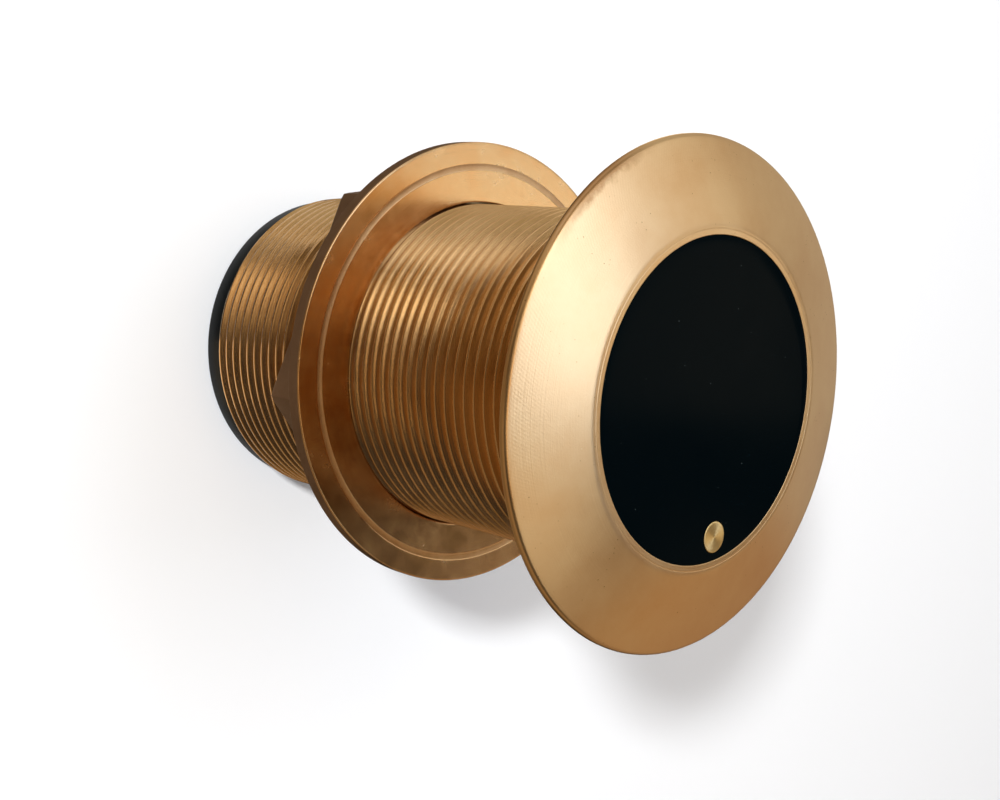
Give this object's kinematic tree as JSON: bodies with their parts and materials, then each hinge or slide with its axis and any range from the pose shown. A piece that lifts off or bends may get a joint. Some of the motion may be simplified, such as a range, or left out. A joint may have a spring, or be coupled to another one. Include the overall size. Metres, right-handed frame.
{
  "type": "sonar transducer",
  "caption": "Bronze through-hull sonar transducer: a domed flange with a flush black acoustic face on a threaded stem, and a flanged hexagonal nut that clamps it through a boat's hull.",
  "frame": {"origin": "centre of the rear end, on the surface it stands on", "axes": "+Z along the stem to the sounding face, +X to the temperature button"},
  "size_m": [0.0848, 0.0848, 0.1022],
  "materials": {
    "bronze": "cast bronze, turned satin",
    "window": "cast urethane, polished black",
    "button": "turned brass",
    "bead": "dipped resin",
    "bead_lead": "insulated wire",
    "piezo": "sintered ceramic, silvered faces",
    "cork": "cork-rubber strip",
    "backing": "closed-cell foam rubber",
    "front_wire": "insulated wire",
    "rear_wire": "insulated wire",
    "resin": "cast potting resin",
    "board": "fibreglass laminate",
    "ferrite": "sintered ferrite",
    "copper": "enamelled copper wire",
    "resistor": "glazed chip",
    "pin": "tinned brass",
    "cap": "moulded black plastic",
    "bush": "moulded rubber"
  },
  "bodies": {
    "transducer": {"housing": "bronze", "acoustic_window": "window", "temperature_button": "button", "temperature_bead": "bead", "temperature_leads": "bead_lead", "piezo_disc": "piezo", "decoupling_sleeve": "cork", "backing_disc": "backing", "front_lead": "front_wire", "rear_lead": "rear_wire", "front_potting": "resin", "terminal_board": "board", "transformer_core": "ferrite", "transformer_winding": "copper", "identity_resistor": "resistor", "terminal_pins": "pin", "rear_potting": "resin", "rear_cap": "cap", "cable_bush": "bush"},
    "nut": {"hull_nut": "bronze"}
  },
  "joints": [
    {"name": "nut_travel", "type": "slide", "parent": "transducer", "child": "nut", "axis": [0, 0, 1], "range_m": [-0.0291, 0.0463]}
  ]
}
